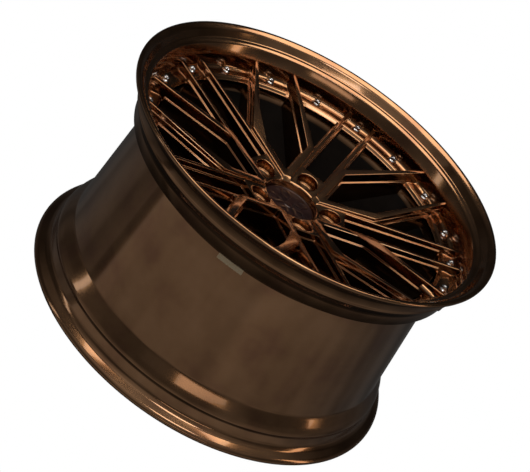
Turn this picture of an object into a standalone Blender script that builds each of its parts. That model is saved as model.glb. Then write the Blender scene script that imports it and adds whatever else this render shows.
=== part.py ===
# A forged racing wheel rim, 20 x 10.5 J, lying face up on its rear flange.
# One rim carries both tyre flanges. A forged spoked centre sits on a shelf inside it
# and is held by twenty bolts that screw into thread inserts in the shelf.
# Metres, +Z along the wheel's axis towards its face, origin on the axis at the rear face.

import math

import bpy
import bmesh
from mathutils import Matrix, Vector

mm = 0.001
gap = 0.3 * mm

# Driving dimensions. A "depth" is measured back from the front flange's widest plane.
flange_radius = 273.7 * mm
flange_lip = 1.6 * mm
flange_spread = 304.4 * mm
front_plane = flange_spread + flange_lip
flange_width = 18.85 * mm
seat_radius = 256.4 * mm
seat_taper = math.tan(math.radians(5))

well_radius = 227.4 * mm
well_depth = 75.0 * mm
barrel_flare = 0.0898
barrel_end_depth = 243.0 * mm
barrel_wall = 5.4 * mm

shelf_wall_radius = 242.2 * mm
shelf_bore_radius = 222.0 * mm
shelf_depth = 58.3 * mm
lip_step_depth = 31.5 * mm

round_steps = 60
small_steps = 40
bolt_sides = 10

# The forged centre
arm_count = 5
arm_pitch = 72
pair_offset = 36
centre_radius = shelf_wall_radius - gap
centre_flange_depth = shelf_depth - gap
spigot_radius = shelf_bore_radius - gap
spigot_bore = 217.6 * mm
spigot_depth = 74.4 * mm
frame_top = 84.7 * mm
frame_slope = 0.2195
pair_top = 86.5 * mm
pair_slope = 0.195
ledge_top = 96.5 * mm
ledge_slope = 0.2075
ledge_width = 3.0 * mm
flange_top_depth = 52.8 * mm
pad_depth = 126.0 * mm
pad_radius = 77.0 * mm
hub_bore_radius = 36.3 * mm

# Plan of one V frame: across and outwards from the wheel's centre
outer_apex = (6.7 * mm, 45.0 * mm)
outer_elbow = (49.8 * mm, 109.2 * mm)
outer_tip = (33.8 * mm, 246.0 * mm)
inner_apex = (2.5 * mm, 57.9 * mm)
inner_elbow = (38.7 * mm, 109.2 * mm)
inner_tip = (28.2 * mm, 252.0 * mm)
pair_outside = 23.8 * mm
pair_inside = 18.9 * mm
slot_start = 78.0 * mm
notch = 9.0 * mm
side_step = 0.5 * mm
reach = 252.0 * mm
far_reach = 290.0 * mm
sector_start = 5.0 * mm

# Fasteners
bolt_circle = 233.3 * mm
side_bolt_angle = 18.96
bolt_shank = 3.0 * mm
bolt_flange = 5.8 * mm
bolt_head = 4.6 * mm
bolt_base_depth = flange_top_depth - gap
bolt_head_depth = 46.5 * mm
bolt_end_depth = 64.0 * mm
insert_radius = 4.0 * mm
insert_end_depth = 64.6 * mm
insert_hole_end_depth = 64.9 * mm

# Lug seats on a 114.3 mm circle
lug_circle = 57.15 * mm
lug_pocket_radius = 15.0 * mm
lug_seat_radius = 12.0 * mm
lug_hole_radius = 7.7 * mm
lug_seat_depth = 86.8 * mm
lug_cone_depth = lug_seat_depth + (lug_seat_radius - lug_hole_radius) / math.tan(math.radians(30))

# Centre cap
cap_radius = 38.3 * mm
cap_face_depth = 88.35 * mm
cap_recess_depth = 92.0 * mm

# Tyre valve, pointing inwards through the wall above the shelf
valve_angle = -49.9
valve_depth = 39.4 * mm
valve_hole_radius = 5.8 * mm
valve_face_radius = 8.6 * mm
valve_inner_face_radius = 7.7 * mm
valve_wall = 5.2 * mm
stem_radius = 4.0 * mm

# Label on the barrel
label_angle = 234.35
label_span = 9.5
label_depths = (75.3 * mm, 82.6 * mm)
label_thickness = 0.25 * mm


def clear_scene():
    for item in list(bpy.data.objects):
        bpy.data.objects.remove(item, do_unlink=True)


def make_collection(name):
    collection = bpy.data.collections.new(name)
    bpy.context.scene.collection.children.link(collection)
    return collection


def make_material(name, colour, roughness, metallic):
    material = bpy.data.materials.new(name)
    material.use_nodes = True
    shader = material.node_tree.nodes["Principled BSDF"]
    shader.inputs["Base Color"].default_value = (*colour, 1)
    shader.inputs["Roughness"].default_value = roughness
    shader.inputs["Metallic"].default_value = metallic
    return material


def height(depth):
    return front_plane - depth


def turn(angle):
    return Matrix.Rotation(math.radians(angle), 4, "Z")


def place(across, outwards, angle):
    """A plan point given across (clockwise) and outwards along the spoke direction."""
    a = math.radians(angle)
    return Vector((outwards * math.cos(a) + across * math.sin(a),
                   outwards * math.sin(a) - across * math.cos(a)))


def add_mesh_object(name, mesh, collection, material=None):
    item = bpy.data.objects.new(name, mesh)
    collection.objects.link(item)
    if material:
        mesh.materials.append(material)
    return item


def as_cutter(item):
    item.hide_render = True
    item.display_type = "WIRE"
    return item


def profile_mesh(name, points):
    """A closed profile of (radius, height) points, down the outer side and up the inner."""
    shape = bmesh.new()
    corners = [shape.verts.new((radius, 0, level)) for radius, level in points]
    for first, second in zip(corners, corners[1:] + corners[:1]):
        on_axis = first.co.x < 1e-9 and second.co.x < 1e-9
        if not on_axis:
            shape.edges.new((first, second))
    mesh = bpy.data.meshes.new(name)
    shape.to_mesh(mesh)
    shape.free()
    return mesh


def add_screw(item, steps):
    screw = item.modifiers.new("turned", "SCREW")
    screw.angle = math.tau
    screw.steps = steps
    screw.render_steps = steps
    screw.use_merge_vertices = True
    screw.merge_threshold = 0.00001


def turned(name, points, steps, collection, material=None):
    item = add_mesh_object(name, profile_mesh(name, points), collection, material)
    add_screw(item, steps)
    return item


def at_depths(points):
    return [(radius, height(depth)) for radius, depth in points]


def prisms(name, outlines, low_depth, high_depth, collection):
    """Upright walls on each closed outline, as one cutter."""
    curve = bpy.data.curves.new(name, "CURVE")
    curve.dimensions = "2D"
    curve.fill_mode = "BOTH"
    curve.extrude = (low_depth - high_depth) / 2
    for outline in outlines:
        spline = curve.splines.new("POLY")
        spline.points.add(len(outline) - 1)
        for point, corner in zip(spline.points, outline):
            point.co = (corner[0], corner[1], 0, 1)
        spline.use_cyclic_u = True
    drawn = bpy.data.objects.new(name + "_outline", curve)
    drawn.location.z = height((low_depth + high_depth) / 2)
    collection.objects.link(drawn)
    bpy.context.view_layer.update()
    mesh = bpy.data.meshes.new_from_object(drawn.evaluated_get(bpy.context.evaluated_depsgraph_get()))
    shape = bmesh.new()
    shape.from_mesh(mesh)
    bmesh.ops.remove_doubles(shape, verts=shape.verts, dist=0.00001)
    bmesh.ops.transform(shape, matrix=drawn.matrix_world, verts=shape.verts)
    bmesh.ops.recalc_face_normals(shape, faces=shape.faces)
    shape.to_mesh(mesh)
    shape.free()
    bpy.data.objects.remove(drawn, do_unlink=True)
    return as_cutter(add_mesh_object(name, mesh, collection))


def boolean(item, operation, cutter=None, cutters=None):
    step = item.modifiers.new(operation.lower(), "BOOLEAN")
    step.operation = operation
    step.solver = "MANIFOLD"
    if cutter:
        step.object = cutter
    else:
        step.operand_type = "COLLECTION"
        step.collection = cutters


def shade_round(item):
    mesh = item.data
    mesh.shade_smooth()
    mesh.set_sharp_from_angle(angle=math.radians(30))


def inset(outline, width):
    """Moves each side of a convex outline, listed counterclockwise, inwards."""
    lines = []
    for first, second in zip(outline, outline[1:] + outline[:1]):
        along = (second - first).normalized()
        inwards = Vector((-along.y, along.x))
        lines.append((first + inwards * width, along))
    corners = []
    for (start, along), (other, across) in zip(lines[-1:] + lines[:-1], lines):
        cross = along.x * across.y - along.y * across.x
        offset = other - start
        share = (offset.x * across.y - offset.y * across.x) / cross
        corners.append(start + along * share)
    return corners


def frame_window(angle):
    """The opening inside a V frame."""
    right = [inner_apex, inner_elbow, inner_tip]
    left = [(-across, outwards) for across, outwards in reversed(right)]
    return [place(across, outwards, angle) for across, outwards in right + [(0, far_reach)] + left]


def side_window(angle, side):
    """The three-cornered opening between a V frame's arm and the next straight spoke."""
    elbow = place(side * outer_elbow[0], outer_elbow[1], angle)
    tip = place(side * outer_tip[0], outer_tip[1], angle)
    pair_angle = angle - side * pair_offset
    pair_end = place(-side * pair_outside, reach, pair_angle)
    arm_start = elbow + (tip - elbow).normalized() * notch
    pair_start = elbow + (pair_end - elbow).normalized() * notch
    between = place(0, far_reach, angle - side * side_bolt_angle)
    outline = [arm_start, pair_start, pair_end, between, tip]
    return inset(outline if side > 0 else outline[::-1], side_step)


def pair_slot(angle):
    """The parallel slot between a pair of straight spokes."""
    right = [(pair_inside, slot_start), (pair_inside, far_reach)]
    left = [(-across, outwards) for across, outwards in reversed(right)]
    return [place(across, outwards, angle) for across, outwards in right + left]


def pair_sector(angle):
    """The plan between two V frames, where the straight spokes lie lower than the frames."""
    side = [outer_apex, outer_elbow, outer_tip]
    near = [place(-across, outwards, angle - pair_offset) for across, outwards in side]
    far = [place(across, outwards, angle + pair_offset) for across, outwards in reversed(side)]
    return [place(0, sector_start, angle)] + near + [place(0, far_reach, angle)] + far


def frame_angles():
    return [90 - arm_pitch * index for index in range(arm_count)]


def pair_angles():
    return [angle - pair_offset for angle in frame_angles()]


def bolt_angles():
    angles = []
    for angle in frame_angles():
        angles += [angle, angle - side_bolt_angle, angle - pair_offset, angle + side_bolt_angle]
    return angles


def flange_back(depth_of):
    """The tyre side of a flange, from its rim down to the bead seat."""
    steps = [(273.7, 3.3), (270.5, 6.8), (261.5, 11.4), (257.6, 15.8)]
    return [(radius * mm, depth_of(back * mm)) for radius, back in steps]


def barrel_radius(depth):
    return well_radius + (depth - well_depth) * barrel_flare


def rim_profile():
    rear = flange_spread
    front_seat_end = 30.0 * mm
    rear_seat_end = rear - 31.4 * mm
    outside = [(268.5 * mm, -flange_lip), (272.2 * mm, -flange_lip), (flange_radius, -0.2 * mm)]
    outside += flange_back(lambda back: back)
    outside += [(seat_radius, flange_width),
                (seat_radius - (front_seat_end - flange_width) * seat_taper, front_seat_end)]
    outside += [(256.0 * mm, 33.0 * mm), (255.0 * mm, 36.0 * mm), (249.2 * mm, 41.5 * mm),
                (247.2 * mm, 47.0 * mm), (246.2 * mm, 63.0 * mm), (230.0 * mm, 70.0 * mm), (well_radius, well_depth)]
    outside += [(barrel_radius(barrel_end_depth), barrel_end_depth),
                (246.0 * mm, 249.0 * mm), (251.6 * mm, 258.5 * mm), (254.6 * mm, 264.5 * mm),
                (256.0 * mm, 268.5 * mm),
                (seat_radius - (rear - flange_width - rear_seat_end) * seat_taper, rear_seat_end),
                (seat_radius, rear - flange_width)]
    outside += reversed(flange_back(lambda back: rear - back))
    outside += [(flange_radius, rear + 0.2 * mm), (272.2 * mm, front_plane), (268.5 * mm, front_plane)]
    inside = [(262.8 * mm, 301.0 * mm), (257.5 * mm, 294.0 * mm), (250.6 * mm, 288.0 * mm),
              (249.0 * mm, 284.0 * mm), (249.0 * mm, 267.0 * mm), (246.2 * mm, 259.5 * mm),
              (240.0 * mm, 248.0 * mm),
              (barrel_radius(barrel_end_depth) - barrel_wall, barrel_end_depth),
              (shelf_bore_radius, 78.0 * mm), (shelf_bore_radius, shelf_depth),
              (shelf_wall_radius, shelf_depth), (shelf_wall_radius, lip_step_depth),
              (247.7 * mm, 15.9 * mm), (251.6 * mm, 13.2 * mm), (255.9 * mm, 12.3 * mm),
              (262.8 * mm, 2.5 * mm)]
    return at_depths(outside + inside)


def disc_holes(name, angles, circle, radius, low_depth, high_depth, sides, collection):
    """Upright round holes on a circle, as one cutter."""
    shape = bmesh.new()
    for angle in angles:
        centre = place(0, circle, angle)
        middle = Vector((centre.x, centre.y, height((low_depth + high_depth) / 2)))
        bmesh.ops.create_cone(shape, cap_ends=True, segments=sides, radius1=radius, radius2=radius,
                              depth=low_depth - high_depth, matrix=Matrix.Translation(middle))
    mesh = bpy.data.meshes.new(name)
    shape.to_mesh(mesh)
    shape.free()
    return as_cutter(add_mesh_object(name, mesh, collection))


def valve_matrix():
    """Valve frame: +Z points at the wheel's axis, origin on the wall's inner face."""
    outwards = place(0, 1, valve_angle)
    point = Vector((outwards.x, outwards.y, 0)) * shelf_wall_radius
    point.z = height(valve_depth)
    tilt = Matrix.Rotation(math.radians(-90), 4, "Y")
    return Matrix.Translation(point) @ turn(valve_angle) @ tilt


def make_rim(parts, cutters, material):
    rim = turned("rim", rim_profile(), round_steps, parts, material)
    inserts = disc_holes("insert_holes", bolt_angles(), bolt_circle, insert_radius + gap,
                         insert_hole_end_depth, shelf_depth - 5 * mm, bolt_sides, cutters)
    boolean(rim, "DIFFERENCE", inserts)
    for name, radius, low, high in (("valve_hole", valve_hole_radius, -12 * mm, 6 * mm),
                                    ("valve_outer_face", valve_face_radius, -24 * mm, -valve_wall),
                                    ("valve_inner_face", valve_inner_face_radius, 0, 8 * mm)):
        shape = bmesh.new()
        middle = Matrix.Translation((0, 0, (low + high) / 2))
        bmesh.ops.create_cone(shape, cap_ends=True, segments=20, radius1=radius, radius2=radius,
                              depth=high - low, matrix=middle)
        mesh = bpy.data.meshes.new(name)
        shape.to_mesh(mesh)
        shape.free()
        cutter = as_cutter(add_mesh_object(name, mesh, cutters))
        cutter.matrix_world = valve_matrix()
        boolean(rim, "DIFFERENCE", cutter)
    shade_round(rim)


def centre_profile():
    top = lambda radius: frame_top - radius * frame_slope
    hub_rise = outer_apex[1]
    return at_depths([
        (centre_radius, top(centre_radius)), (centre_radius, centre_flange_depth),
        (spigot_radius, centre_flange_depth), (spigot_radius, spigot_depth),
        (214.0 * mm, 75.5 * mm), (130.0 * mm, 108.0 * mm), (82.0 * mm, 121.0 * mm),
        (pad_radius, pad_depth), (hub_bore_radius, pad_depth), (hub_bore_radius, cap_recess_depth),
        (cap_radius + gap, cap_recess_depth), (cap_radius + gap, 80.0 * mm),
        (hub_rise, top(hub_rise))])


def pocket_profile():
    """The space above the ledges of the spokes and above the bolted flange."""
    ledge = lambda radius: ledge_top - radius * ledge_slope
    inner = spigot_bore - 0.6 * mm
    fillet = [(242.2, 46.6), (240.2, 50.8), (236.5, flange_top_depth / mm)]
    return at_depths(
        [(0, -30 * mm), (reach, -30 * mm), (reach, 46.6 * mm)]
        + [(radius * mm, depth * mm) for radius, depth in fillet]
        + [(225.0 * mm, flange_top_depth), (219.0 * mm, 57.6 * mm), (inner, 57.6 * mm),
           (inner, ledge(inner)), (0, ledge_top)])


def lug_profile():
    return at_depths([(0, 20 * mm), (lug_pocket_radius, 20 * mm), (lug_pocket_radius, lug_seat_depth),
                      (lug_seat_radius, lug_seat_depth), (lug_hole_radius, lug_cone_depth),
                      (lug_hole_radius, pad_depth + 5 * mm), (0, pad_depth + 5 * mm)])


def make_centre(parts, cutters, lug_cutters, material):
    windows = []
    for angle in frame_angles():
        windows += [frame_window(angle), side_window(angle, 1), side_window(angle, -1),
                    pair_slot(angle - pair_offset)]
    centre = turned("centre", centre_profile(), round_steps, parts, material)

    low = prisms("pair_sectors", [pair_sector(angle) for angle in pair_angles()],
                 pad_depth, -20 * mm, cutters)
    above_pairs = turned("above_pairs", at_depths([
        (0, -30 * mm), (reach, -30 * mm), (reach, pair_top - reach * pair_slope), (0, pair_top)]),
        round_steps, cutters)
    boolean(low, "INTERSECT", as_cutter(above_pairs))
    boolean(centre, "DIFFERENCE", low)

    pockets = prisms("window_pockets", windows, pad_depth, -20 * mm, cutters)
    above_ledges = turned("above_ledges", pocket_profile(), round_steps, cutters)
    boolean(pockets, "INTERSECT", as_cutter(above_ledges))
    boolean(centre, "DIFFERENCE", pockets)

    through = prisms("window_openings", [inset(outline, ledge_width) for outline in windows],
                     pad_depth + 10 * mm, -20 * mm, cutters)
    inside_spigot = turned("inside_spigot", at_depths([
        (0, -30 * mm), (spigot_bore, -30 * mm), (spigot_bore, pad_depth + 20 * mm),
        (0, pad_depth + 20 * mm)]), round_steps, cutters)
    boolean(through, "INTERSECT", as_cutter(inside_spigot))
    boolean(centre, "DIFFERENCE", through)

    lug_mesh = profile_mesh("lug_hole", lug_profile())
    for angle in pair_angles():
        cutter = as_cutter(add_mesh_object("lug_hole", lug_mesh, lug_cutters))
        cutter.location = place(0, lug_circle, angle).to_3d()
        add_screw(cutter, 20)
    boolean(centre, "DIFFERENCE", cutters=lug_cutters)

    for name, radius, floor in (("bolt_seats", bolt_flange + 3 * gap, flange_top_depth + 0.2 * mm),
                                ("bolt_holes", bolt_shank + 2 * gap, shelf_depth + 3 * mm)):
        holes = disc_holes(name, bolt_angles(), bolt_circle, radius, floor, 40 * mm,
                           bolt_sides, cutters)
        boolean(centre, "DIFFERENCE", holes)
    shade_round(centre)


def bolt_profile():
    return [(0, height(bolt_head_depth)), (bolt_head, height(bolt_head_depth)),
            (bolt_head, height(bolt_base_depth - 2 * mm)),
            (bolt_flange, height(bolt_base_depth - 1.2 * mm)), (bolt_flange, height(bolt_base_depth)),
            (bolt_shank, height(bolt_base_depth)), (bolt_shank, height(bolt_end_depth)),
            (0, height(bolt_end_depth))]


def insert_profile():
    top = height(shelf_depth + gap)
    low = height(insert_end_depth)
    return [(bolt_shank + gap, top), (insert_radius, top), (insert_radius, low), (bolt_shank + gap, low)]


def make_fasteners(parts, bolt_material, insert_material):
    bolt_mesh = profile_mesh("assembly_bolt", bolt_profile())
    insert_mesh = profile_mesh("thread_insert", insert_profile())
    bolt_mesh.materials.append(bolt_material)
    insert_mesh.materials.append(insert_material)
    for number, angle in enumerate(bolt_angles(), 1):
        for name, mesh in (("assembly_bolt", bolt_mesh), ("thread_insert", insert_mesh)):
            item = add_mesh_object(f"{name}_{number:02d}", mesh, parts)
            item.location = place(0, bolt_circle, angle).to_3d()
            add_screw(item, bolt_sides)


def make_cap(parts, cap_material, ring_material):
    skirt_end = cap_recess_depth + 12 * mm
    skirt = 35.4 * mm
    groove = 34.2 * mm
    inside = 31.5 * mm
    points = [(0, cap_face_depth - 1.2 * mm), (20 * mm, cap_face_depth - 0.9 * mm),
              (34 * mm, cap_face_depth - 0.2 * mm), (37.4 * mm, cap_face_depth),
              (cap_radius, cap_face_depth + mm),
              (cap_radius, cap_recess_depth - gap), (skirt, cap_recess_depth - gap),
              (skirt, cap_recess_depth + 5 * mm), (groove, cap_recess_depth + 5 * mm),
              (groove, cap_recess_depth + 8 * mm), (skirt, cap_recess_depth + 8 * mm),
              (skirt, skirt_end), (inside, skirt_end), (inside, cap_face_depth + 4 * mm),
              (0, cap_face_depth + 4 * mm)]
    cap = turned("centre_cap", at_depths(points), small_steps, parts, cap_material)
    shade_round(cap)
    top = cap_recess_depth + 5.6 * mm
    ring = [(groove + gap, top), (36.0 * mm, top + 0.6 * mm), (36.0 * mm, top + 1.2 * mm),
            (groove + gap, top + 1.8 * mm)]
    turned("cap_ring", at_depths(ring), small_steps, parts, ring_material)


def make_valve(parts, materials):
    base = bpy.data.objects.new("valve_axis", None)
    parts.objects.link(base)
    base.matrix_world = valve_matrix()
    seat = -valve_wall

    def fit(name, points, steps, material):
        item = turned(name, points, steps, parts, material)
        item.parent = base
        shade_round(item)

    stem_end = 26 * mm
    bore = 2.4 * mm
    fit("valve_stem", [(bore, stem_end), (stem_radius, stem_end), (stem_radius, seat - 1.8 * mm),
                       (7.8 * mm, seat - 1.8 * mm), (7.8 * mm, seat - 4.4 * mm), (bore, seat - 4.4 * mm)],
        24, materials["bronze"])
    fit("valve_seal", [(stem_radius + gap, -mm), (5.5 * mm, -mm), (5.5 * mm, seat - gap),
                       (7.6 * mm, seat - gap), (7.6 * mm, seat - 1.5 * mm),
                       (stem_radius + gap, seat - 1.5 * mm)],
        24, materials["rubber"])
    fit("valve_washer", [(stem_radius + gap, 1.5 * mm), (7.0 * mm, 1.5 * mm), (7.0 * mm, gap),
                         (stem_radius + gap, gap)], 24, materials["valve_metal"])
    fit("valve_core", [(1.0 * mm, 21 * mm), (bore - gap, 21 * mm),
                       (bore - gap, 14 * mm), (1.0 * mm, 14 * mm)],
        12, materials["brass"])
    fit("valve_cap", [(0, 29.5 * mm), (4.4 * mm, 29.5 * mm), (5.2 * mm, 28.6 * mm), (5.2 * mm, 12 * mm),
                      (stem_radius + gap, 12 * mm), (stem_radius + gap, 27.6 * mm), (0, 27.6 * mm)],
        24, materials["bronze"])
    fit("valve_pin", [(0, 25.2 * mm), (1.6 * mm, 25.2 * mm), (1.6 * mm, 24.5 * mm), (0.7 * mm, 24.5 * mm),
                      (0.7 * mm, 13.4 * mm), (1.9 * mm, 13.4 * mm), (1.9 * mm, 11.2 * mm), (0, 11.2 * mm)],
        12, materials["brass"])

    shape = bmesh.new()
    bmesh.ops.create_cone(shape, cap_ends=True, segments=6, radius1=6.9 * mm, radius2=6.9 * mm,
                          depth=5 * mm, matrix=Matrix.Translation((0, 0, 4.3 * mm)))
    mesh = bpy.data.meshes.new("valve_nut")
    shape.to_mesh(mesh)
    shape.free()
    nut = add_mesh_object("valve_nut", mesh, parts, materials["bronze"])
    nut.parent = base
    return nut, base


def make_spring(parts, base, material):
    curve = bpy.data.curves.new("valve_spring", "CURVE")
    curve.dimensions = "3D"
    curve.bevel_depth = 0.2 * mm
    curve.bevel_resolution = 2
    curve.use_fill_caps = True
    turns, per_turn = 3, 10
    low, high, radius = 21.5 * mm, 24.1 * mm, 1.25 * mm
    spline = curve.splines.new("POLY")
    spline.points.add(turns * per_turn)
    for index, point in enumerate(spline.points):
        angle = math.tau * index / per_turn
        level = low + (high - low) * index / (turns * per_turn)
        point.co = (radius * math.cos(angle), radius * math.sin(angle), level, 1)
    curve.materials.append(material)
    item = bpy.data.objects.new("valve_spring", curve)
    parts.objects.link(item)
    item.parent = base


def bore_nut(nut, base, cutters):
    shape = bmesh.new()
    bmesh.ops.create_cone(shape, cap_ends=True, segments=24, radius1=stem_radius + gap,
                          radius2=stem_radius + gap, depth=20 * mm)
    mesh = bpy.data.meshes.new("nut_bore")
    shape.to_mesh(mesh)
    shape.free()
    cutter = as_cutter(add_mesh_object("nut_bore", mesh, cutters))
    cutter.parent = base
    boolean(nut, "DIFFERENCE", cutter)


def make_label(parts, material):
    shape = bmesh.new()
    bmesh.ops.create_grid(shape, x_segments=8, y_segments=1, size=0.5)
    for corner in shape.verts:
        angle = math.radians(label_angle + corner.co.x * label_span)
        depth = sum(label_depths) / 2 - corner.co.y * (label_depths[1] - label_depths[0])
        radius = barrel_radius(depth) + gap
        corner.co = (radius * math.cos(angle), radius * math.sin(angle), height(depth))
    mesh = bpy.data.meshes.new("size_label")
    shape.to_mesh(mesh)
    shape.free()
    label = add_mesh_object("size_label", mesh, parts, material)
    skin = label.modifiers.new("thickness", "SOLIDIFY")
    skin.thickness = label_thickness
    skin.offset = 1


def main():
    clear_scene()
    parts = make_collection("forged_wheel_rim")
    cutters = make_collection("cutters")
    lug_cutters = make_collection("lug_cutters")
    materials = {
        "bronze": make_material("bronze_lacquer", (0.24, 0.11, 0.05), 0.18, 0.9),
        "chrome": make_material("bolt_chrome", (0.8, 0.8, 0.82), 0.12, 1.0),
        "steel": make_material("insert_steel", (0.5, 0.5, 0.5), 0.35, 1.0),
        "cap": make_material("cap_lacquer", (0.06, 0.03, 0.035), 0.15, 0.6),
        "valve_metal": make_material("valve_nickel", (0.6, 0.58, 0.55), 0.25, 1.0),
        "rubber": make_material("valve_rubber", (0.02, 0.02, 0.02), 0.8, 0.0),
        "brass": make_material("core_brass", (0.6, 0.43, 0.16), 0.3, 1.0),
        "label": make_material("label_film", (0.55, 0.36, 0.2), 0.5, 0.0),
    }
    make_rim(parts, cutters, materials["bronze"])
    make_centre(parts, cutters, lug_cutters, materials["bronze"])
    make_fasteners(parts, materials["chrome"], materials["steel"])
    make_cap(parts, materials["cap"], materials["steel"])
    nut, valve_base = make_valve(parts, materials)
    bore_nut(nut, valve_base, cutters)
    make_spring(parts, valve_base, materials["steel"])
    make_label(parts, materials["label"])


main()
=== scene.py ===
import math

import bpy
from mathutils import Matrix, Vector


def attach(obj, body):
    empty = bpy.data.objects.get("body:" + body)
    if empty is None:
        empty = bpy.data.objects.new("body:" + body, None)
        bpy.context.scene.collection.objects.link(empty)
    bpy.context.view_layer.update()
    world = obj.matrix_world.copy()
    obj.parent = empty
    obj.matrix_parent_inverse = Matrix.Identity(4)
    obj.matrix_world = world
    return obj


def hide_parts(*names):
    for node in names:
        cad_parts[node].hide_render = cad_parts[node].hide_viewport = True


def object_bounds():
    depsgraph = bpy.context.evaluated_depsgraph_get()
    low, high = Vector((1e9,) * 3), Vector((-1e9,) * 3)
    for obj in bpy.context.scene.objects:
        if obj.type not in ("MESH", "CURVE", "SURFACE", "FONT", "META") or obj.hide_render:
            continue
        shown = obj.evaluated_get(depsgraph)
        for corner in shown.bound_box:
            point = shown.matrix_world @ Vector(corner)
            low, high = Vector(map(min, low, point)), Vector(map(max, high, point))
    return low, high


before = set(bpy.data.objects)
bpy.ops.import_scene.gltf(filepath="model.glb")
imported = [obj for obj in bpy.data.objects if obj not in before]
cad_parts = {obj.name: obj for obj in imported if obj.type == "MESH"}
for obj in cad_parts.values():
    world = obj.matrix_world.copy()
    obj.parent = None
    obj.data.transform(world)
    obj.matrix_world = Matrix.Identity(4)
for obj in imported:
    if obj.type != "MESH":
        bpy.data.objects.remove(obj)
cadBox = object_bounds()
bpy.ops.object.select_all(action="DESELECT")

mm = 0.001
lipStand = 1.6      # the lip's edge stands this far in front of the front flange's plane
frontPlane = cadBox[1].z - lipStand * mm
print("frame loaded, front plane at", round(frontPlane, 4))


cameraSettings = {
    "place": (-1.0802, -1.7688, 1.3654),
    "angles": (54.581, -29.563, -12.037),
    "lens": 119.66,
}


def makeCamera():
    bpy.ops.object.camera_add(location=cameraSettings["place"],
                              rotation=[math.radians(a) for a in cameraSettings["angles"]])
    camera = bpy.context.object
    camera.data.lens = cameraSettings["lens"]
    camera.data.sensor_width = 36
    bpy.context.scene.camera = camera


makeCamera()


def deselectAll():
    bpy.ops.object.select_all(action="DESELECT")


def makeActive(piece):
    deselectAll()
    piece.select_set(True)
    bpy.context.view_layer.objects.active = piece


def editMode(piece):
    makeActive(piece)
    bpy.ops.object.mode_set(mode="EDIT")


def objectMode():
    bpy.ops.object.mode_set(mode="OBJECT")


def height(depth):
    return frontPlane - depth * mm


def atPlan(across, outwards, angle):
    # across is clockwise, outwards is along the spoke
    a = math.radians(angle)
    return (outwards * math.cos(a) + across * math.sin(a), outwards * math.sin(a) - across * math.cos(a))


def selectPoints(piece, points):
    # leaves the piece in edit mode with only the vertices at these points selected
    for part in (piece.data.polygons, piece.data.edges):
        part.foreach_set("select", [False] * len(part))
    for vertex in piece.data.vertices:
        vertex.select = any((vertex.co - Vector(point)).length < 1e-6 for point in points)
    editMode(piece)


def startLine(name, start):
    # one vertex to extrude a line from
    deselectAll()
    bpy.ops.mesh.primitive_plane_add(size=0.01)
    piece = bpy.context.object
    piece.name = name
    bpy.ops.object.mode_set(mode="EDIT")
    bpy.ops.mesh.select_all(action="SELECT")
    bpy.ops.mesh.merge(type="CENTER")
    bpy.ops.transform.translate(value=start)
    return piece


def drawLine(name, points, closed=True):
    # extrudes a vertex from point to point, and closes the loop with an edge
    piece = startLine(name, points[0])
    for before, after in zip(points, points[1:]):
        step = tuple(b - a for a, b in zip(before, after))
        bpy.ops.mesh.extrude_vertices_move(TRANSFORM_OT_translate={"value": step})
    objectMode()
    if closed:
        selectPoints(piece, [points[0], points[-1]])
        bpy.ops.mesh.edge_face_add()
        objectMode()
    return piece


def roundCorners(piece, corners, size, segments=3):
    # rounds the corners of a drawn line that lie at the given points
    if corners:
        selectPoints(piece, corners)
        bpy.ops.mesh.bevel(offset=size * mm, segments=segments, affect="VERTICES")
        objectMode()


def spinPiece(piece, steps, axis=(0, 0, 1)):
    editMode(piece)
    bpy.ops.mesh.select_all(action="SELECT")
    bpy.ops.mesh.spin(steps=steps, angle=math.tau, center=(0, 0, 0), axis=axis)
    bpy.ops.mesh.select_all(action="SELECT")
    bpy.ops.mesh.remove_doubles(threshold=1e-6)
    bpy.ops.mesh.normals_make_consistent(inside=False)
    objectMode()


def turnedPiece(name, profile, steps, closed=True):
    # profile rows are radius, depth, rounding
    points = [(radius * mm, 0, height(depth)) for radius, depth, rounding in profile]
    piece = drawLine(name, points, closed)
    for size in sorted({rounding for radius, depth, rounding in profile if rounding}):
        corners = [point for point, row in zip(points, profile) if row[2] == size]
        roundCorners(piece, corners, size, 4 if size > 1.2 else 2)
    spinPiece(piece, steps)
    return piece


def smoothPiece(piece, angle=28):
    makeActive(piece)
    bpy.ops.object.shade_smooth_by_angle(angle=math.radians(angle))


def applyModifier(piece, kind, **settings):
    makeActive(piece)
    step = piece.modifiers.new(kind.lower(), kind)
    for key, value in settings.items():
        setattr(step, key, value)
    bpy.ops.object.modifier_apply(modifier=step.name)


def cutWith(piece, cutter, operation="DIFFERENCE", solver="MANIFOLD"):
    applyModifier(piece, "BOOLEAN", operation=operation, object=cutter, solver=solver)
    bpy.data.objects.remove(cutter, do_unlink=True)


def copyOf(piece, name, turned=0.0):
    # a copy with its own mesh, turned about the wheel's axis
    makeActive(piece)
    bpy.ops.object.duplicate(linked=False)
    copy = bpy.context.object
    copy.name = name
    copy.rotation_euler.z = math.radians(turned)
    bpy.ops.object.transform_apply(location=True, rotation=True, scale=True)
    return copy


def moveTo(piece, plan):
    piece.location = (plan[0] * mm, plan[1] * mm, 0)
    makeActive(piece)
    bpy.ops.object.transform_apply(location=True, rotation=True, scale=True)


def joinPieces(pieces, name):
    deselectAll()
    for piece in pieces:
        piece.select_set(True)
    bpy.context.view_layer.objects.active = pieces[0]
    bpy.ops.object.join()
    joined = bpy.context.object
    joined.name = name
    return joined


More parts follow.
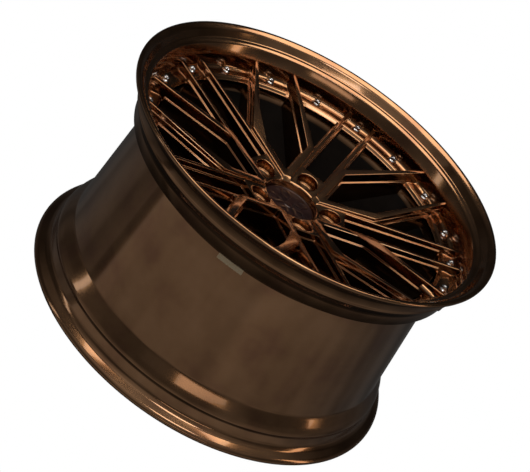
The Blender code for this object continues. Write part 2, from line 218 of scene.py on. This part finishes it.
def prism(name, outline, low, high, rounded=0.0, segments=3):
    # an upright block on a plan outline, from depth low up to depth high
    points = [(x * mm, y * mm, height(low)) for x, y in outline]
    piece = drawLine(name, points)
    if rounded:
        roundCorners(piece, points, rounded, segments)
    editMode(piece)
    bpy.ops.mesh.select_all(action="SELECT")
    bpy.ops.mesh.edge_face_add()
    bpy.ops.mesh.extrude_region_move(TRANSFORM_OT_translate={"value": (0, 0, (low - high) * mm)})
    bpy.ops.mesh.select_all(action="SELECT")
    bpy.ops.mesh.normals_make_consistent(inside=False)
    objectMode()
    return piece


def inset(outline, width):
    # moves each side of a convex counterclockwise outline inwards
    sides = []
    for first, second in zip(outline, outline[1:] + outline[:1]):
        along = (Vector(second) - Vector(first)).normalized()
        sides.append((Vector(first) + Vector((-along.y, along.x)) * width, along))
    corners = []
    for (start, along), (other, across) in zip(sides[-1:] + sides[:-1], sides):
        cross = along.x * across.y - along.y * across.x
        offset = other - start
        share = (offset.x * across.y - offset.y * across.x) / cross
        corners.append(tuple(start + along * share))
    return corners


def linear(hexColour, alpha=1.0):
    # sRGB hex to linear light
    parts = [int(hexColour[i:i + 2], 16) / 255 for i in (1, 3, 5)]
    return tuple(p / 12.92 if p <= 0.04045 else ((p + 0.055) / 1.055) ** 2.4 for p in parts) + (alpha,)


def addNode(tree, kind, settings=None, inputs=None, links=None):
    # settings are node properties, inputs are socket values, links are socket from socket
    node = tree.nodes.new(kind)
    for key, value in (settings or {}).items():
        setattr(node, key, value)
    for key, value in (inputs or {}).items():
        node.inputs[key].default_value = value
    for key, source in (links or {}).items():
        tree.links.new(source, node.inputs[key])
    return node


def newMaterial(name):
    material = bpy.data.materials.new(name)
    material.use_nodes = True
    tree = material.node_tree
    return material, tree, tree.nodes["Principled BSDF"]


def ramp(node, stops):
    # a stop is a position with a hex colour, or with a plain grey value
    bar = node.color_ramp
    while len(bar.elements) > 1:
        bar.elements.remove(bar.elements[0])
    for index, (position, value) in enumerate(stops):
        stop = bar.elements[0] if index == 0 else bar.elements.new(position)
        stop.position = position
        stop.color = linear(value) if isinstance(value, str) else (value, value, value, 1)


lacquer = {
    "deep": "#96694a",
    "mid": "#a87c56",
    "pale": "#b58862",
    "cloudSize": 60.0,      # the slow drift of the tinted coat
    "peelSize": 5.4,        # orange peel in the clear coat, drawn coarse so that it shows
    "smoothest": 0.12,
    "roughest": 0.17,
}


def bronzeLacquer():
    # Translucent bronze lacquer sprayed over bright forged aluminium: a dark metal with a clear top
    # coat, so it shows a copper glint at edges and near-black between the lights.
    material, tree, shader = newMaterial("bronze_lacquer_over_forged_aluminium")
    place = addNode(tree, "ShaderNodeTexCoord")
    cloud = addNode(tree, "ShaderNodeTexNoise", {"noise_dimensions": "3D"},
                    {"Scale": 1 / (lacquer["cloudSize"] * mm), "Detail": 3.0, "Roughness": 0.55},
                    {"Vector": place.outputs["Object"]})
    tint = addNode(tree, "ShaderNodeValToRGB", links={"Fac": cloud.outputs["Fac"]})
    ramp(tint, [(0.3, lacquer["deep"]), (0.5, lacquer["mid"]), (0.72, lacquer["pale"])])
    tree.links.new(tint.outputs["Color"], shader.inputs["Base Color"])
    rough = addNode(tree, "ShaderNodeMapRange", None,
                    {"From Min": 0.3, "From Max": 0.7,
                     "To Min": lacquer["smoothest"], "To Max": lacquer["roughest"]},
                    {"Value": cloud.outputs["Fac"]})
    tree.links.new(rough.outputs["Result"], shader.inputs["Roughness"])
    peel = addNode(tree, "ShaderNodeTexNoise", None,
                   {"Scale": 1 / (lacquer["peelSize"] * mm), "Detail": 1.0},
                   {"Vector": place.outputs["Object"]})
    bump = addNode(tree, "ShaderNodeBump", None, {"Strength": 0.004, "Distance": 0.0001},
                   {"Height": peel.outputs["Fac"]})
    tree.links.new(bump.outputs["Normal"], shader.inputs["Coat Normal"])
    shader.inputs["Metallic"].default_value = 1.0
    shader.inputs["Coat Weight"].default_value = 0.7
    shader.inputs["Coat Roughness"].default_value = 0.03
    shader.inputs["Coat IOR"].default_value = 1.5
    return material


def paintedShadeInsideBarrel():
    # Painted shade: forged aluminium given a dark satin colour, nearly black, that stands in for the shade
    # deep inside the barrel.
    material, tree, shader = newMaterial("painted_shade_inside_the_barrel")
    place = addNode(tree, "ShaderNodeTexCoord")
    cloud = addNode(tree, "ShaderNodeTexNoise", None, {"Scale": 22.0, "Detail": 3.0},
                    {"Vector": place.outputs["Object"]})
    tint = addNode(tree, "ShaderNodeValToRGB", links={"Fac": cloud.outputs["Fac"]})
    ramp(tint, [(0.3, "#2c231d"), (0.7, "#3b3029")])
    tree.links.new(tint.outputs["Color"], shader.inputs["Base Color"])
    shader.inputs["Metallic"].default_value = 1.0
    shader.inputs["Roughness"].default_value = 0.34
    shader.inputs["Coat Weight"].default_value = 0.25
    shader.inputs["Coat Roughness"].default_value = 0.1
    return material


def plainMetal(name, colour, darker, roughness, grain):
    # metal with a fine surface grain that shifts its gloss a little
    material, tree, shader = newMaterial(name)
    place = addNode(tree, "ShaderNodeTexCoord")
    noise = addNode(tree, "ShaderNodeTexNoise", None, {"Scale": 1 / (grain * mm), "Detail": 2.0},
                    {"Vector": place.outputs["Object"]})
    tint = addNode(tree, "ShaderNodeValToRGB", links={"Fac": noise.outputs["Fac"]})
    ramp(tint, [(0.35, darker), (0.65, colour)])
    tree.links.new(tint.outputs["Color"], shader.inputs["Base Color"])
    rough = addNode(tree, "ShaderNodeMapRange", None,
                    {"To Min": roughness * 0.8, "To Max": roughness * 1.25}, {"Value": noise.outputs["Fac"]})
    tree.links.new(rough.outputs["Result"], shader.inputs["Roughness"])
    shader.inputs["Metallic"].default_value = 1.0
    return material


def capLacquer():
    # Gloss plastic in dark plum, moulded and clear coated: near black with soft reflections.
    material, tree, shader = newMaterial("moulded_plum_gloss_plastic")
    place = addNode(tree, "ShaderNodeTexCoord")
    noise = addNode(tree, "ShaderNodeTexNoise", None, {"Scale": 90.0, "Detail": 2.0},
                    {"Vector": place.outputs["Object"]})
    tint = addNode(tree, "ShaderNodeValToRGB", links={"Fac": noise.outputs["Fac"]})
    ramp(tint, [(0.35, "#2c1a1c"), (0.65, "#3b2424")])
    tree.links.new(tint.outputs["Color"], shader.inputs["Base Color"])
    shader.inputs["Metallic"].default_value = 0.45
    shader.inputs["Roughness"].default_value = 0.28
    shader.inputs["Coat Weight"].default_value = 0.8
    shader.inputs["Coat Roughness"].default_value = 0.06
    return material


def rubberMaterial():
    # EPDM rubber, moulded: matt black with a faint grey bloom.
    material, tree, shader = newMaterial("moulded_black_rubber")
    place = addNode(tree, "ShaderNodeTexCoord")
    noise = addNode(tree, "ShaderNodeTexNoise", None, {"Scale": 900.0, "Detail": 3.0},
                    {"Vector": place.outputs["Object"]})
    tint = addNode(tree, "ShaderNodeValToRGB", links={"Fac": noise.outputs["Fac"]})
    ramp(tint, [(0.3, "#151515"), (0.7, "#232221")])
    tree.links.new(tint.outputs["Color"], shader.inputs["Base Color"])
    shader.inputs["Roughness"].default_value = 0.75
    return material


def labelFilm():
    # Tan foil label under a milky film, which hides the foil's gleam: pale and satin.
    material, tree, shader = newMaterial("tan_foil_label_under_film")
    place = addNode(tree, "ShaderNodeTexCoord")
    fibre = addNode(tree, "ShaderNodeTexNoise", None, {"Scale": 700.0, "Detail": 3.0},
                    {"Vector": place.outputs["Object"]})
    tint = addNode(tree, "ShaderNodeValToRGB", links={"Fac": fibre.outputs["Fac"]})
    ramp(tint, [(0.3, "#f0d0a0"), (0.7, "#fff0d0")])
    tree.links.new(tint.outputs["Color"], shader.inputs["Base Color"])
    shader.inputs["Roughness"].default_value = 0.5
    shader.inputs["Coat Weight"].default_value = 0.3
    return material


bronze = bronzeLacquer()
insideShade = paintedShadeInsideBarrel()
# chrome plate on polished steel: a clear mirror, the brightest thing on the wheel
chrome = plainMetal("polished_chrome_plate", "#e6e6ea", "#d2d2d8", 0.08, 3.0)
# black nickel plate on turned brass: dark and warm, with a soft gleam
nickel = plainMetal("black_nickel_plate", "#4a4440", "#3a3532", 0.25, 1.5)
# stainless steel as turned: mid grey and satin
steel = plainMetal("plain_stainless_steel", "#a9a9a9", "#8f8f8f", 0.32, 1.0)
# brass as turned: yellow and satin
brass = plainMetal("turned_brass", "#c9a25a", "#b58c48", 0.28, 1.0)
plum = capLacquer()
rubber = rubberMaterial()
film = labelFilm()
print("materials made")


def finishPiece(piece, material, body, slotName, *nodes):
    piece.data.materials.clear()
    piece.data.materials.append(material)
    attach(piece, body)
    if nodes:
        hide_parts(*nodes)


rimSettings = {
    "steps": 288,
    "barrelFlare": 0.0898,
    "wellRadius": 227.4,
    "wellDepth": 75.0,
    "wellEnd": 243.0,
    "wall": 5.4,
    "lipBack": 297.0,       # how far back the painted shade inside the barrel reaches
    "smoothAngle": 26,
}

valveSettings = {
    "angle": -49.9, "depth": 39.4, "wallRadius": 242.2, "wall": 5.2,
    "hole": 5.8, "outerFace": 8.6, "innerFace": 7.7, "sides": 32,
}


def rimProfile():
    # rows are radius, depth, rounding, from the front lip round the tyre side and back through the inside
    r = rimSettings
    wellEnd = r["wellRadius"] + (r["wellEnd"] - r["wellDepth"]) * r["barrelFlare"]
    tyreSide = [
        (268.5, -1.6, 1.0), (272.2, -1.6, 0.6), (273.7, -0.2, 0.6), (273.7, 3.3, 1.2), (270.5, 6.8, 1.2),
        (261.5, 11.4, 2.0), (257.6, 15.8, 1.4), (256.4, 18.85, 1.4), (255.4, 30.0, 1.2), (256.0, 33.0, 1.2),
        (255.0, 36.0, 1.2), (249.2, 41.5, 2.0), (247.2, 47.0, 2.0), (246.2, 63.0, 0.8), (230.0, 70.0, 1.6),
        (r["wellRadius"], r["wellDepth"], 1.6), (wellEnd, r["wellEnd"], 2.0),
        (246.0, 249.0, 2.0), (251.6, 258.5, 2.0), (254.6, 264.5, 1.4), (256.0, 268.5, 1.4),
        (255.3, 273.0, 1.4), (256.4, 285.55, 1.4), (257.6, 288.6, 1.4), (261.5, 293.0, 2.0),
        (270.5, 297.6, 1.2), (273.7, 301.1, 1.2), (273.7, 304.6, 0.6), (272.2, 306.0, 0.6),
        (268.5, 306.0, 1.0)]
    inside = [
        (262.8, 301.0, 2.0), (257.5, 294.0, 2.0), (250.6, 288.0, 1.6), (249.0, 284.0, 1.6),
        (249.0, 267.0, 2.0), (246.2, 259.5, 2.0), (240.0, 248.0, 2.0),
        (wellEnd - r["wall"], r["wellEnd"], 2.0), (222.0, 78.0, 2.0),
        (222.0, 58.3, 0.5), (242.2, 58.3, 0), (242.2, 31.5, 0.8), (247.7, 15.9, 1.0),
        (251.6, 13.2, 1.0), (255.9, 12.3, 1.6), (262.8, 2.5, 2.0)]
    return tyreSide + inside


def valveFrame():
    # +Z points at the wheel's axis, origin on the wall's inner face
    a = math.radians(valveSettings["angle"])
    radius = valveSettings["wallRadius"] * mm
    place = Matrix.Translation((radius * math.cos(a), radius * math.sin(a), height(valveSettings["depth"])))
    return place @ Matrix.Rotation(a, 4, "Z") @ Matrix.Rotation(math.radians(-90), 4, "Y")


def drum(name, radius, low, high, sides, place):
    # a plain drum, used only to cut with
    deselectAll()
    bpy.ops.mesh.primitive_cylinder_add(vertices=sides, radius=radius * mm, depth=(high - low) * mm)
    piece = bpy.context.object
    piece.name = name
    piece.matrix_world = place @ Matrix.Translation((0, 0, (low + high) / 2 * mm))
    bpy.ops.object.transform_apply(location=True, rotation=True, scale=True)
    return piece


def makeRim():
    rim = turnedPiece("rimBarrel", rimProfile(), rimSettings["steps"])
    v = valveSettings
    place = valveFrame()
    cutWith(rim, drum("valveHole", v["hole"], -12, 6, v["sides"], place))
    cutWith(rim, drum("valveOuterFace", v["outerFace"], -24, -v["wall"], v["sides"], place))
    cutWith(rim, drum("valveInnerFace", v["innerFace"], 0, 8, v["sides"], place))
    smoothPiece(rim, rimSettings["smoothAngle"])
    finishPiece(rim, bronze, "wheel", "bronze_lacquer", "rim")
    # painted shade: the faces that look towards the axis, from the well back to the rear lip, take the dark
    # material in place of the shade inside the barrel
    rim.data.materials.append(insideShade)
    for face in rim.data.polygons:
        facesAxis = face.normal.x * face.center.x + face.normal.y * face.center.y < 0
        if facesAxis and height(rimSettings["lipBack"]) < face.center.z < height(rimSettings["wellDepth"]):
            face.material_index = 1


makeRim()
print("rim made")


centreSettings = {
    "arms": 5,
    "steps": 240,
    "frameTop": 84.7, "frameSlope": 0.2195,
    "pairTop": 86.5, "pairSlope": 0.195,
    "ledgeTop": 96.5, "ledgeSlope": 0.2075, "ledgeWidth": 3.0,
    "outerApex": (6.7, 45.0), "outerElbow": (49.8, 109.2), "outerTip": (33.8, 246.0),
    "innerApex": (2.5, 57.9), "innerElbow": (38.7, 109.2), "innerTip": (28.2, 252.0),
    "pairOutside": 23.8, "pairInside": 18.9, "slotStart": 78.0,
    "notch": 9.0, "sideStep": 0.5, "reach": 252.0, "farReach": 290.0,
    "boltAngle": 18.96, "boltCircle": 233.3,
    "boltSeat": 6.7, "seatFloor": 53.0, "boltHole": 3.6, "holeFloor": 62.0,
    "lugCircle": 57.15, "lugTop": 86.8, "lugRadius": 12.0, "lugHole": 7.7,
    "lugClear": 15.0, "lugCutHigh": 20.0, "lugCutLow": 140.0, "boltCutHigh": 40.0, "boltSides": 24,
    "windowRounding": 1.5, "cutLow": 150.0, "throughLow": 160.0, "cutHigh": -20.0,
    "ringInside": 217.0, "spigotInside": 217.6,
    "edge": 0.9, "bevelAngle": 24, "flatAngle": 0.9, "smoothAngle": 30,
}


def centreBody():
    s = centreSettings
    outer = 241.9
    hubRise = s["outerApex"][1]
    rows = [
        (outer, s["frameTop"] - outer * s["frameSlope"], 0), (outer, 58.0, 0.4), (221.7, 58.0, 0),
        (221.7, 74.4, 0.6), (214.0, 75.5, 2.0), (130.0, 108.0, 8.0), (82.0, 121.0, 3.0), (77.0, 126.0, 0.8),
        (36.3, 126.0, 0.8), (36.3, 92.0, 0), (38.6, 92.0, 0), (38.6, 80.0, 0.6),
        (hubRise, s["frameTop"] - hubRise * s["frameSlope"], 0.6)]
    return turnedPiece("forgedCentre", rows, s["steps"])


def coneLid(name, rows):
    # everything above a sloping surface, as a turned block
    points = [(radius * mm, 0, height(depth)) for radius, depth in rows]
    piece = drawLine(name, points, False)
    spinPiece(piece, centreSettings["steps"])
    return piece


def frameWindow(angle):
    s = centreSettings
    right = [s["innerApex"], s["innerElbow"], s["innerTip"]]
    left = [(-across, outwards) for across, outwards in reversed(right)]
    return [atPlan(across, outwards, angle) for across, outwards in right + [(0, s["farReach"])] + left]


def sideWindow(angle, side):
    s = centreSettings
    elbow = Vector(atPlan(side * s["outerElbow"][0], s["outerElbow"][1], angle))
    tip = Vector(atPlan(side * s["outerTip"][0], s["outerTip"][1], angle))
    pairEnd = Vector(atPlan(-side * s["pairOutside"], s["reach"], angle - side * 36))
    armStart = elbow + (tip - elbow).normalized() * s["notch"]
    pairStart = elbow + (pairEnd - elbow).normalized() * s["notch"]
    between = atPlan(0, s["farReach"], angle - side * s["boltAngle"])
    outline = [tuple(armStart), tuple(pairStart), tuple(pairEnd), between, tuple(tip)]
    return inset(outline if side > 0 else outline[::-1], s["sideStep"])


def pairSlot(angle):
    s = centreSettings
    right = [(s["pairInside"], s["slotStart"]), (s["pairInside"], s["farReach"])]
    left = [(-across, outwards) for across, outwards in reversed(right)]
    return [atPlan(across, outwards, angle) for across, outwards in right + left]


def pairSector(angle):
    s = centreSettings
    side = [s["outerApex"], s["outerElbow"], s["outerTip"]]
    near = [atPlan(-across, outwards, angle - 36) for across, outwards in side]
    far = [atPlan(across, outwards, angle + 36) for across, outwards in reversed(side)]
    return [atPlan(0, 5.0, angle)] + near + [atPlan(0, s["farReach"], angle)] + far


def allRound(piece, name):
    turns = [copyOf(piece, name, 72 * index) for index in range(1, centreSettings["arms"])]
    return joinPieces([piece] + turns, name)


def cutAllRound(centre, cutter, name):
    cutWith(centre, allRound(cutter, name))


def makeCentre():
    s = centreSettings
    low, high, reach, ring = s["cutLow"], s["cutHigh"], s["reach"], s["ringInside"]
    centre = centreBody()

    # the arms between the V frames stand lower than the frames
    sector = prism("pairSector", pairSector(54), low, high)
    pairRim = s["pairTop"] - reach * s["pairSlope"]
    lid = coneLid("abovePairs", [(0, -30), (reach, -30), (reach, pairRim), (0, s["pairTop"])])
    cutWith(sector, lid, "INTERSECT")
    cutAllRound(centre, sector, "pairSectors")

    # pockets down to a narrow ledge round each window, and to the bolt ring
    ledgeRim = s["ledgeTop"] - ring * s["ledgeSlope"]
    lid = coneLid("aboveLedges", [
        (0, -30), (reach, -30), (reach, 46.6), (242.2, 46.6), (241.5, 49.0), (239.8, 51.2), (236.5, 52.8),
        (225.0, 52.8), (222.0, 53.8), (219.0, 57.6), (ring, 57.6), (ring, ledgeRim), (0, s["ledgeTop"])])
    outlines = [frameWindow(90), sideWindow(90, 1), sideWindow(90, -1), pairSlot(54)]
    blocks = [prism("pocket", outline, low, high, s["windowRounding"]) for outline in outlines]
    pockets = joinPieces(blocks, "pockets")
    cutWith(pockets, lid, "INTERSECT")
    cutAllRound(centre, pockets, "pockets")

    # openings right through, inside the ledges
    plug = coneLid("insideSpigot", [(0, -30), (s["spigotInside"], -30), (s["spigotInside"], low), (0, low)])
    blocks = [prism("opening", inset(outline, s["ledgeWidth"]), s["throughLow"], high, s["windowRounding"])
              for outline in outlines]
    holes = joinPieces(blocks, "openings")
    cutWith(holes, plug, "INTERSECT")
    cutAllRound(centre, holes, "openings")

    # lug holes with a 60 degree conical seat
    lugCone = s["lugTop"] + (s["lugRadius"] - s["lugHole"]) / math.tan(math.radians(30))
    lug = coneLid("lug", [
        (0, s["lugCutHigh"]), (s["lugClear"], s["lugCutHigh"]), (s["lugClear"], s["lugTop"]),
        (s["lugRadius"], s["lugTop"]), (s["lugHole"], lugCone), (s["lugHole"], s["lugCutLow"]),
        (0, s["lugCutLow"])])
    moveTo(lug, atPlan(0, s["lugCircle"], 54))
    cutAllRound(centre, lug, "lugs")

    for name, radius, floor in (("boltSeats", s["boltSeat"], s["seatFloor"]),
                                ("boltHoles", s["boltHole"], s["holeFloor"])):
        drums = []
        for angle in (90, 90 - s["boltAngle"], 54, 90 + s["boltAngle"]):
            x, y = atPlan(0, s["boltCircle"], angle)
            place = Matrix.Translation((x * mm, y * mm, height(floor)))
            drums.append(drum(name, radius, 0, floor - s["boltCutHigh"], s["boltSides"], place))
        cutAllRound(centre, joinPieces(drums, name), name)

    editMode(centre)
    bpy.ops.mesh.select_all(action="SELECT")
    bpy.ops.mesh.dissolve_limited(angle_limit=math.radians(s["flatAngle"]))
    bpy.ops.mesh.select_all(action="SELECT")
    bpy.ops.mesh.remove_doubles(threshold=2e-5)
    objectMode()
    print("centre cut,", len(centre.data.polygons), "faces")
    applyModifier(centre, "BEVEL", width=s["edge"] * mm, segments=3, limit_method="ANGLE",
                  angle_limit=math.radians(s["bevelAngle"]), use_clamp_overlap=False,
                  miter_outer="MITER_ARC", harden_normals=False)
    smoothPiece(centre, s["smoothAngle"])
    finishPiece(centre, bronze, "wheel", "bronze_lacquer", "centre")


makeCentre()
print("centre made")


boltSettings = {
    "flange": 5.8, "head": 4.5, "points": 12, "pointDepth": 0.55,
    "base": 52.5, "top": 46.5, "end": 64.0, "shank": 3.0,
    "steps": 48, "turnEach": 7,     # each bolt stops at its own angle, as tightened
}


def makeBolt():
    b = boltSettings
    rows = [(0, b["top"] + 1.0), (2.0, b["top"] + 1.0), (2.5, b["top"] + 0.1), (b["head"] - 0.6, b["top"]),
            (b["head"], b["top"] + 0.6), (b["head"], b["base"] - 2.2), (b["flange"] - 0.4, b["base"] - 1.3),
            (b["flange"], b["base"] - 0.9), (b["flange"], b["base"]), (b["shank"], b["base"]),
            (b["shank"], b["end"] - 0.6), (b["shank"] - 0.6, b["end"]), (0, b["end"])]
    points = [(radius * mm, 0, height(depth)) for radius, depth in rows]
    bolt = drawLine("assemblyBolt", points, False)
    spinPiece(bolt, b["steps"])
    # every second corner of the head is pushed in, which leaves twelve points
    headLow = height(b["base"] - 2.2) - 1e-6
    for vertex in bolt.data.vertices:
        radius = math.hypot(vertex.co.x, vertex.co.y)
        if vertex.co.z > headLow and radius > 3.2 * mm:
            angle = math.atan2(vertex.co.y, vertex.co.x)
            wave = 0.5 - 0.5 * math.cos(b["points"] * angle)
            pull = 1 - wave * b["pointDepth"] * mm / radius
            vertex.co.x *= pull
            vertex.co.y *= pull
    smoothPiece(bolt, 32)
    return bolt


def boltAngles():
    angles = []
    aside = centreSettings["boltAngle"]
    for index in range(centreSettings["arms"]):
        angle = 90 - 72 * index
        angles += [angle, angle - aside, angle - 36, angle + aside]
    return angles


def makeBolts():
    first = makeBolt()
    for number, angle in enumerate(boltAngles(), 1):
        bolt = copyOf(first, f"assemblyBolt{number:02d}", angle * boltSettings["turnEach"])
        moveTo(bolt, atPlan(0, centreSettings["boltCircle"], angle))
        finishPiece(bolt, chrome, "wheel", "bolt_chrome", f"assembly_bolt_{number:02d}")
    bpy.data.objects.remove(first, do_unlink=True)


makeBolts()
print("bolts made")


capSettings = {"radius": 38.3, "face": 88.35, "steps": 160, "buttonSteps": 64, "edge": 0.25}


def capMark(angle):
    # one raised chevron of the plain five-pointed mark
    outline = [(0, 8), (9.5, 19), (7.0, 30), (3.2, 30), (5.2, 20),
               (0, 14), (-5.2, 20), (-3.2, 30), (-7.0, 30), (-9.5, 19)]
    turned = [atPlan(across, outwards, angle) for across, outwards in outline]
    face = capSettings["face"]
    return prism("capMark", turned, face + 1.4, face - 0.3, 0.4, 2)


def makeCap():
    face = capSettings["face"]
    outer = capSettings["radius"]
    rows = [(6.0, face + 1.2, 0), (20.0, face + 0.9, 2.0), (34.0, face + 0.3, 0.5), (34.6, face, 0.3),
            (37.2, face, 0.5), (outer, face + 1.0, 0.4), (outer, 91.7, 0.3),
            (35.4, 91.7, 0), (35.4, 97.0, 0.2), (34.2, 97.0, 0), (34.2, 100.0, 0), (35.4, 100.0, 0.2),
            (35.4, 104.0, 0.4), (31.5, 104.0, 0.4), (31.5, face + 4.0, 0.8), (6.0, face + 4.0, 0)]
    cap = turnedPiece("centreCap", rows, capSettings["steps"])
    middle = [(0.001, face + 0.6, 0), (5.0, face + 0.6, 0.8), (6.2, face + 1.3, 0), (6.2, face + 3.9, 0),
              (0.001, face + 3.9, 0)]
    button = turnedPiece("capButton", middle, capSettings["buttonSteps"])
    cutWith(cap, button, "UNION", "EXACT")
    marks = [capMark(90 + 72 * index) for index in range(5)]
    cutWith(cap, joinPieces(marks, "capMarks"), "UNION", "EXACT")
    applyModifier(cap, "BEVEL", width=capSettings["edge"] * mm, segments=2, limit_method="ANGLE",
                  angle_limit=math.radians(40))
    smoothPiece(cap, 30)
    finishPiece(cap, plum, "cap", "cap_lacquer", "centre_cap")


makeCap()
print("cap made")


carriedOver = {
    "thread_insert": steel, "cap_ring": steel, "valve_spring": steel, "valve_washer": nickel,
    "valve_stem": bronze, "valve_nut": bronze, "valve_cap": bronze,
    "valve_core": brass, "valve_pin": brass, "valve_seal": rubber, "size_label": film,
}
for node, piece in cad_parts.items():
    for start, material in carriedOver.items():
        if node.startswith(start):
            for slotIndex in range(len(piece.material_slots)):
                piece.material_slots[slotIndex].material = material
print("carried over pieces finished")


stageSettings = {
    "floorSize": 12.0,
    "floorDrop": 0.0005,
    # brightness of the room by height of the direction, from straight down (0) to straight up (1)
    "byHeight": [(0.0, 0.02), (0.12, 0.03), (0.18, 0.05), (0.23, 0.16), (0.27, 0.20), (0.33, 0.15),
                 (0.45, 0.15), (0.5, 0.12), (0.6, 0.07), (0.75, 0.06), (0.82, 0.15), (0.93, 0.3), (1.0, 0.3)],
    # and by compass direction, once round from -X
    "byCompass": [(0.0, 1.0), (0.30, 1.0), (0.40, 0.6), (0.55, 0.25), (0.75, 0.25), (0.90, 0.45),
                  (0.93, 0.55), (0.932, 0.25), (0.953, 0.25), (0.955, 1.0)],
}


def makeFloor():
    # a white sweep that the metal doesn't mirror, so the wheel keeps the room's own reflections
    deselectAll()
    below = (0, 0, -stageSettings["floorDrop"])
    bpy.ops.mesh.primitive_plane_add(size=stageSettings["floorSize"], location=below)
    floor = bpy.context.object
    floor.name = "studioFloor"
    material = bpy.data.materials.new("white_sweep")
    material.use_nodes = True
    tree = material.node_tree
    tree.nodes.clear()
    ray = addNode(tree, "ShaderNodeLightPath")
    white = addNode(tree, "ShaderNodeEmission", None, {"Color": (1, 1, 1, 1), "Strength": 1.0})
    clear = addNode(tree, "ShaderNodeBsdfTransparent")
    mix = addNode(tree, "ShaderNodeMixShader", None, None,
                  {0: ray.outputs["Is Camera Ray"], 1: clear.outputs["BSDF"], 2: white.outputs["Emission"]})
    addNode(tree, "ShaderNodeOutputMaterial", None, None, {"Surface": mix.outputs["Shader"]})
    floor.data.materials.append(material)


def makeWorld():
    # white to the eye, and a dim room with paler and darker walls for the metal to mirror
    world = bpy.data.worlds.new("studioRoom")
    bpy.context.scene.world = world
    world.use_nodes = True
    tree = world.node_tree
    tree.nodes.clear()
    ray = addNode(tree, "ShaderNodeLightPath")
    white = addNode(tree, "ShaderNodeBackground", None, {"Color": (1, 1, 1, 1), "Strength": 1.0})
    place = addNode(tree, "ShaderNodeTexCoord")
    axes = addNode(tree, "ShaderNodeSeparateXYZ", None, None, {"Vector": place.outputs["Generated"]})
    rise = addNode(tree, "ShaderNodeMapRange", None, {"From Min": -1.0, "From Max": 1.0},
                   {"Value": axes.outputs["Z"]})
    heightLight = addNode(tree, "ShaderNodeValToRGB", links={"Fac": rise.outputs["Result"]})
    ramp(heightLight, stageSettings["byHeight"])
    compass = addNode(tree, "ShaderNodeMath", {"operation": "ARCTAN2"}, None,
                      {0: axes.outputs["Y"], 1: axes.outputs["X"]})
    aroundRoom = addNode(tree, "ShaderNodeMapRange", None, {"From Min": -math.pi, "From Max": math.pi},
                      {"Value": compass.outputs["Value"]})
    sideLight = addNode(tree, "ShaderNodeValToRGB", links={"Fac": aroundRoom.outputs["Result"]})
    ramp(sideLight, stageSettings["byCompass"])
    cloud = addNode(tree, "ShaderNodeTexNoise", None, {"Scale": 3.0, "Detail": 3.0},
                    {"Vector": place.outputs["Generated"]})
    patchy = addNode(tree, "ShaderNodeMapRange", None,
                     {"From Min": 0.35, "From Max": 0.65, "To Min": 0.7, "To Max": 1.3},
                     {"Value": cloud.outputs["Fac"]})
    both = addNode(tree, "ShaderNodeMath", {"operation": "MULTIPLY"}, None,
                   {0: heightLight.outputs["Color"], 1: sideLight.outputs["Color"]})
    brightness = addNode(tree, "ShaderNodeMath", {"operation": "MULTIPLY"}, None,
                         {0: both.outputs["Value"], 1: patchy.outputs["Result"]})
    room = addNode(tree, "ShaderNodeBackground", None, {"Color": (1.0, 0.97, 0.93, 1)},
                   {"Strength": brightness.outputs["Value"]})
    mix = addNode(tree, "ShaderNodeMixShader", None, None,
                  {0: ray.outputs["Is Camera Ray"], 1: room.outputs["Background"],
                   2: white.outputs["Background"]})
    addNode(tree, "ShaderNodeOutputWorld", None, None, {"Surface": mix.outputs["Shader"]})


lightSettings = {
    # compass and up in degrees, sizes and distance in metres, brightness as a mirror would show it
    "overheadSoftbox": {"compass": 58, "up": 80, "distance": 2.4, "width": 2.6, "tall": 1.5,
                        "brightness": 2.6, "colour": "#fff2e2"},
    "frontSoftbox": {"compass": 262, "up": 62, "distance": 2.6, "width": 0.9, "tall": 0.5,
                     "brightness": 3.5, "colour": "#ffffff"},
    "rearRimCard": {"compass": 259, "up": 22, "distance": 3.0, "width": 1.6, "tall": 0.35,
                    "brightness": 1.1, "colour": "#fff0e0"},
    "rightStrip": {"compass": 330, "up": 20, "distance": 2.8, "width": 0.3, "tall": 1.6,
                   "brightness": 2.0, "colour": "#ffe6cc"},
    "leftStrip": {"compass": 165, "up": 12, "distance": 2.8, "width": 0.25, "tall": 1.6,
                  "brightness": 1.2, "colour": "#ffffff"},
}


def makeLights():
    # every lamp faces the middle of the wheel, and its power follows from its brightness and area
    aim = Vector((0, 0, 0.2))
    for name, card in lightSettings.items():
        a, e = math.radians(card["compass"]), math.radians(card["up"])
        away = Vector((math.cos(a) * math.cos(e), math.sin(a) * math.cos(e), math.sin(e)))
        deselectAll()
        bpy.ops.object.light_add(type="AREA", location=aim + away * card["distance"])
        lamp = bpy.context.object
        lamp.name = name
        lamp.data.shape = "RECTANGLE"
        lamp.data.size = card["width"]
        lamp.data.size_y = card["tall"]
        lamp.data.energy = card["brightness"] * math.pi * card["width"] * card["tall"]
        lamp.data.color = linear(card["colour"])[:3]
        lamp.rotation_euler = (-away).to_track_quat("-Z", "Y").to_euler()


makeFloor()
makeWorld()
makeLights()
bpy.context.scene.view_settings.view_transform = "Standard"
print("stage made")
